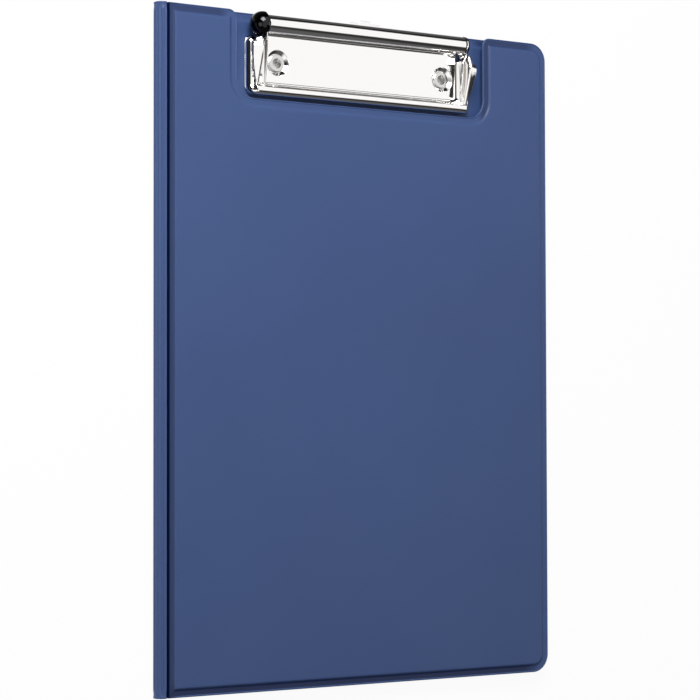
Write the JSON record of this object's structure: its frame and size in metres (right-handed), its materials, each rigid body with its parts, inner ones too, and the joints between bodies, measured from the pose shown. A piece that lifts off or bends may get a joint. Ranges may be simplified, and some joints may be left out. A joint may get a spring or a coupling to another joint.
{
  "type": "fold-over clipboard",
  "caption": "A4 fold-over clipboard: foil-covered boards joined by a ribbed spine, with a sprung metal paper clip in a cut-out of the cover and a hanging eye that slides out.",
  "frame": {"origin": "middle of the back's outer face, which the closed folder lies on", "axes": "+Y up the page towards the clip, +X across the page away from the spine, +Z out of the front cover"},
  "size_m": [0.228, 0.3222, 0.015],
  "materials": {
    "blue_foil": "soft PVC foil, satin, fine grain",
    "greyboard": "dense grey pulp board",
    "pocket_foil": "thin smooth PVC foil",
    "nickel_plate": "bright nickel-plated pressed steel",
    "rivet_nickel": "nickel-plated rolled eyelet",
    "cap_nickel": "polished dark nickel",
    "plain_steel": "drawn steel",
    "spring_wire": "oiled spring wire",
    "black_nylon": "moulded black nylon"
  },
  "bodies": {
    "back": {"back_outer_skin": "blue_foil", "back_board": "greyboard", "back_inner_liner": "blue_foil", "clip_base_plate": "nickel_plate", "pivot_rod": "plain_steel", "rivet_left": "rivet_nickel", "rivet_right": "rivet_nickel", "rivet_washer_left": "plain_steel", "rivet_washer_right": "plain_steel", "barrel_bush_left": "black_nylon", "barrel_bush_right": "black_nylon", "rod_cap_left": "cap_nickel", "rod_cap_right": "cap_nickel", "torsion_spring_left": "spring_wire", "torsion_spring_right": "spring_wire"},
    "spine": {"spine_outer_skin": "blue_foil", "spine_inner_liner": "blue_foil"},
    "cover": {"cover_outer_skin": "blue_foil", "cover_board": "greyboard", "cover_inner_liner": "blue_foil", "cover_pocket": "pocket_foil"},
    "jaw": {"clip_jaw": "nickel_plate"},
    "eye": {"hanging_eye": "nickel_plate"}
  },
  "joints": [
    {"name": "back_fold", "type": "hinge", "parent": "back", "child": "spine", "pos_m": [-0.11293, 0, 0.00107], "axis": [0, -1, 0], "range_deg": [0, 180]},
    {"name": "cover_fold", "type": "hinge", "parent": "spine", "child": "cover", "pos_m": [-0.11293, 0, 0.00693], "axis": [0, -1, 0], "range_deg": [0, 180]},
    {"name": "jaw_pivot", "type": "hinge", "parent": "back", "child": "jaw", "pos_m": [0.0012, 0.1542, 0.009], "axis": [-1, 0, 0], "range_deg": [0, 65], "stiffness_Nm_per_rad": 0.3, "springref_deg": -57.3},
    {"name": "eye_slide", "type": "slide", "parent": "back", "child": "eye", "axis": [0, 1, 0], "range_m": [0, 0.014]}
  ]
}
